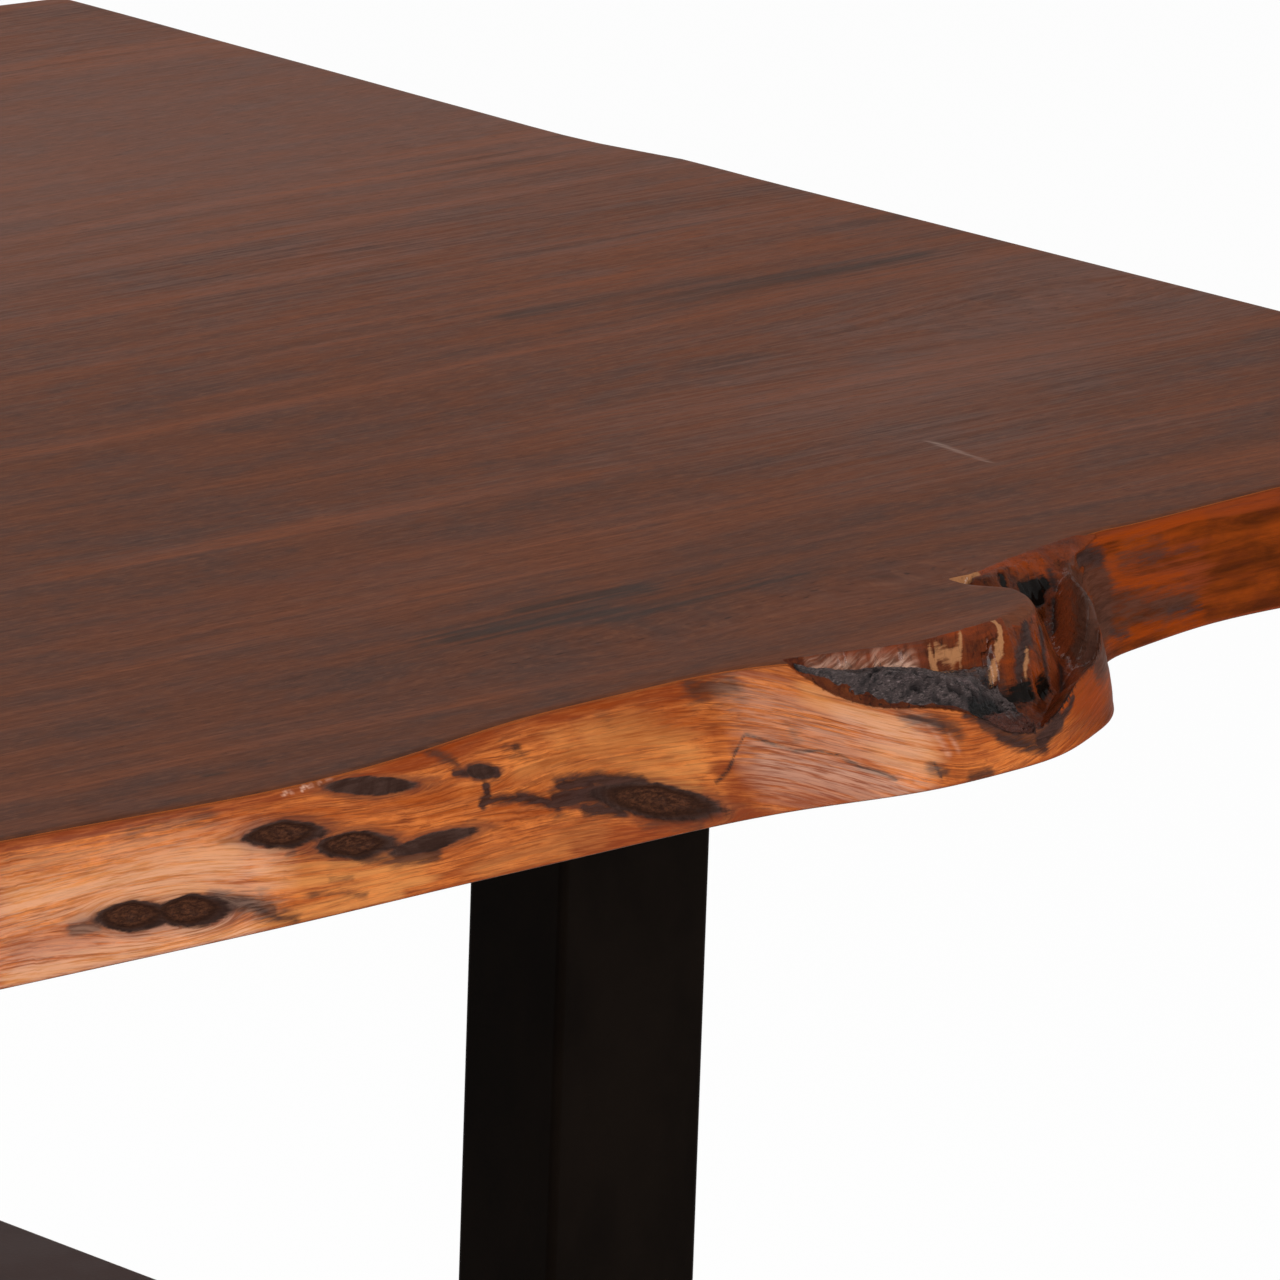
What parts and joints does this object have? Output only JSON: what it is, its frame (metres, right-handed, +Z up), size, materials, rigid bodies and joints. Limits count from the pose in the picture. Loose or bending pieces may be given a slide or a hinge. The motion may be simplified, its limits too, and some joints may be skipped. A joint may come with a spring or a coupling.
{
  "type": "live edge dining table",
  "caption": "Solid wood slab with natural live edges and a burl pocket, resting on two welded black steel H-frames with adjustable levelling feet.",
  "frame": {"origin": "on the floor, under the middle of the slab's bounding box", "axes": "+X along the slab's length towards the end beside the burl, +Y across it towards the back edge, +Z up"},
  "size_m": [2.045, 1.1, 0.762],
  "materials": {
    "slab_wood": "dark walnut stain under satin lacquer, amber on the natural edge",
    "bark": "rough dark bark, sealed",
    "resin": "amber resin over rough burl wood, glossy",
    "black_steel": "satin black powder coat with a brown cast",
    "zinc_steel": "bright zinc plate",
    "foot_plastic": "matt black nylon"
  },
  "bodies": {
    "table": {"tabletop_slab": "slab_wood", "burl_bark": "bark", "burl_resin": "resin", "left_crossbar": "black_steel", "left_mounting_plate": "black_steel", "left_frame_welds": "black_steel", "left_plate_bolts": "zinc_steel", "left_plate_washers": "zinc_steel", "left_threaded_inserts": "zinc_steel", "right_crossbar": "black_steel", "right_mounting_plate": "black_steel", "right_frame_welds": "black_steel", "right_plate_bolts": "zinc_steel", "right_plate_washers": "zinc_steel", "right_threaded_inserts": "zinc_steel", "left_front_upright": "black_steel", "left_front_end_plate": "black_steel", "left_front_weld_nut": "zinc_steel", "left_back_upright": "black_steel", "left_back_end_plate": "black_steel", "left_back_weld_nut": "zinc_steel", "right_front_upright": "black_steel", "right_front_end_plate": "black_steel", "right_front_weld_nut": "zinc_steel", "right_back_upright": "black_steel", "right_back_end_plate": "black_steel", "right_back_weld_nut": "zinc_steel"},
    "left_front_foot": {"left_front_foot_cup": "zinc_steel", "left_front_foot_sole": "foot_plastic"},
    "left_front_stud": {"left_front_foot_stud": "zinc_steel"},
    "left_back_foot": {"left_back_foot_cup": "zinc_steel", "left_back_foot_sole": "foot_plastic"},
    "left_back_stud": {"left_back_foot_stud": "zinc_steel"},
    "right_front_foot": {"right_front_foot_cup": "zinc_steel", "right_front_foot_sole": "foot_plastic"},
    "right_front_stud": {"right_front_foot_stud": "zinc_steel"},
    "right_back_foot": {"right_back_foot_cup": "zinc_steel", "right_back_foot_sole": "foot_plastic"},
    "right_back_stud": {"right_back_foot_stud": "zinc_steel"}
  },
  "joints": [
    {"name": "left_front_foot_height", "type": "slide", "parent": "table", "child": "left_front_foot", "axis": [0, 0, -1], "range_m": [0, 0.012]},
    {"name": "left_front_stud_turn", "type": "hinge", "parent": "left_front_foot", "child": "left_front_stud", "pos_m": [-0.52, -0.3595, 0.009], "axis": [0, 0, -1], "range_deg": [0, 2880]},
    {"name": "left_back_foot_height", "type": "slide", "parent": "table", "child": "left_back_foot", "axis": [0, 0, -1], "range_m": [0, 0.012]},
    {"name": "left_back_stud_turn", "type": "hinge", "parent": "left_back_foot", "child": "left_back_stud", "pos_m": [-0.52, 0.3595, 0.009], "axis": [0, 0, -1], "range_deg": [0, 2880]},
    {"name": "right_front_foot_height", "type": "slide", "parent": "table", "child": "right_front_foot", "axis": [0, 0, -1], "range_m": [0, 0.012]},
    {"name": "right_front_stud_turn", "type": "hinge", "parent": "right_front_foot", "child": "right_front_stud", "pos_m": [0.52, -0.3595, 0.009], "axis": [0, 0, -1], "range_deg": [0, 2880]},
    {"name": "right_back_foot_height", "type": "slide", "parent": "table", "child": "right_back_foot", "axis": [0, 0, -1], "range_m": [0, 0.012]},
    {"name": "right_back_stud_turn", "type": "hinge", "parent": "right_back_foot", "child": "right_back_stud", "pos_m": [0.52, 0.3595, 0.009], "axis": [0, 0, -1], "range_deg": [0, 2880]}
  ],
  "couplings": [
    {"joint": "left_front_stud_turn", "follows": "left_front_foot_height", "rad_per_m": 4188.7},
    {"joint": "left_back_stud_turn", "follows": "left_back_foot_height", "rad_per_m": 4188.7},
    {"joint": "right_front_stud_turn", "follows": "right_front_foot_height", "rad_per_m": 4188.7},
    {"joint": "right_back_stud_turn", "follows": "right_back_foot_height", "rad_per_m": 4188.7}
  ]
}
